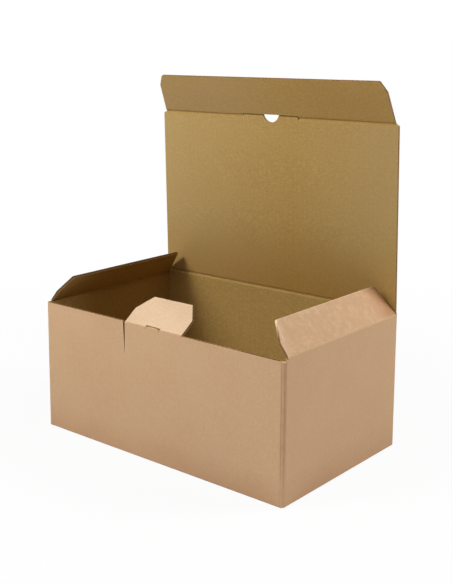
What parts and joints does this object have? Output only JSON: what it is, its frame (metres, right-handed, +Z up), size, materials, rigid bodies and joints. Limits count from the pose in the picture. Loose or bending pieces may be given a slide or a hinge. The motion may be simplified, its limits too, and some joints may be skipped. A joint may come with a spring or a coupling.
{
  "type": "corrugated mailer box",
  "caption": "Open corrugated mailer box with a hinged tuck lid, slanting side flaps and a lock tab on the front edge.",
  "frame": {"origin": "centre of the underside of the base, on the surface the box stands on", "axes": "+X along the front wall to the right seen from the front, +Y from the front wall to the back wall, +Z up"},
  "size_m": [0.35, 0.2188, 0.4202],
  "materials": {
    "carton_body_board": "kraft liner, matt",
    "lid_board": "kraft liner, matt",
    "tuck_flap_board": "kraft liner, matt",
    "left_dust_flap_board": "kraft liner, matt",
    "right_dust_flap_board": "kraft liner, matt",
    "lock_tab_board": "kraft liner, matt"
  },
  "bodies": {
    "carton": {"carton_body": "carton_body_board"},
    "lid": {"lid": "lid_board"},
    "tuck": {"tuck_flap": "tuck_flap_board"},
    "left_flap": {"left_dust_flap": "left_dust_flap_board"},
    "right_flap": {"right_dust_flap": "right_dust_flap_board"},
    "tab": {"lock_tab": "lock_tab_board"}
  },
  "joints": [
    {"name": "lid_hinge", "type": "hinge", "parent": "carton", "child": "lid", "pos_m": [0, 0.10855, 0.1592], "axis": [-1, 0, 0], "range_deg": [-88.2, 30]},
    {"name": "tuck_hinge", "type": "hinge", "parent": "lid", "child": "tuck", "pos_m": [0, 0.10183, 0.37289], "axis": [-1, 0, 0], "range_deg": [-68.3, 21.7]},
    {"name": "left_flap_hinge", "type": "hinge", "parent": "carton", "child": "left_flap", "pos_m": [-0.1742, 0, 0.1559], "axis": [0, -1, 0], "range_deg": [-74.9, 25.5]},
    {"name": "right_flap_hinge", "type": "hinge", "parent": "carton", "child": "right_flap", "pos_m": [0.1742, 0, 0.1559], "axis": [0, 1, 0], "range_deg": [-78.1, 26.6]},
    {"name": "tab_hinge", "type": "hinge", "parent": "carton", "child": "tab", "pos_m": [0, -0.10855, 0.1532], "axis": [-1, 0, 0], "range_deg": [-180, 61.3]}
  ],
  "couplings": [
    {"joint": "left_flap_hinge", "follows": "lid_hinge", "ratio": 0.8481},
    {"joint": "right_flap_hinge", "follows": "lid_hinge", "ratio": 0.8844},
    {"joint": "tab_hinge", "follows": "lid_hinge", "ratio": 2.0397}
  ]
}
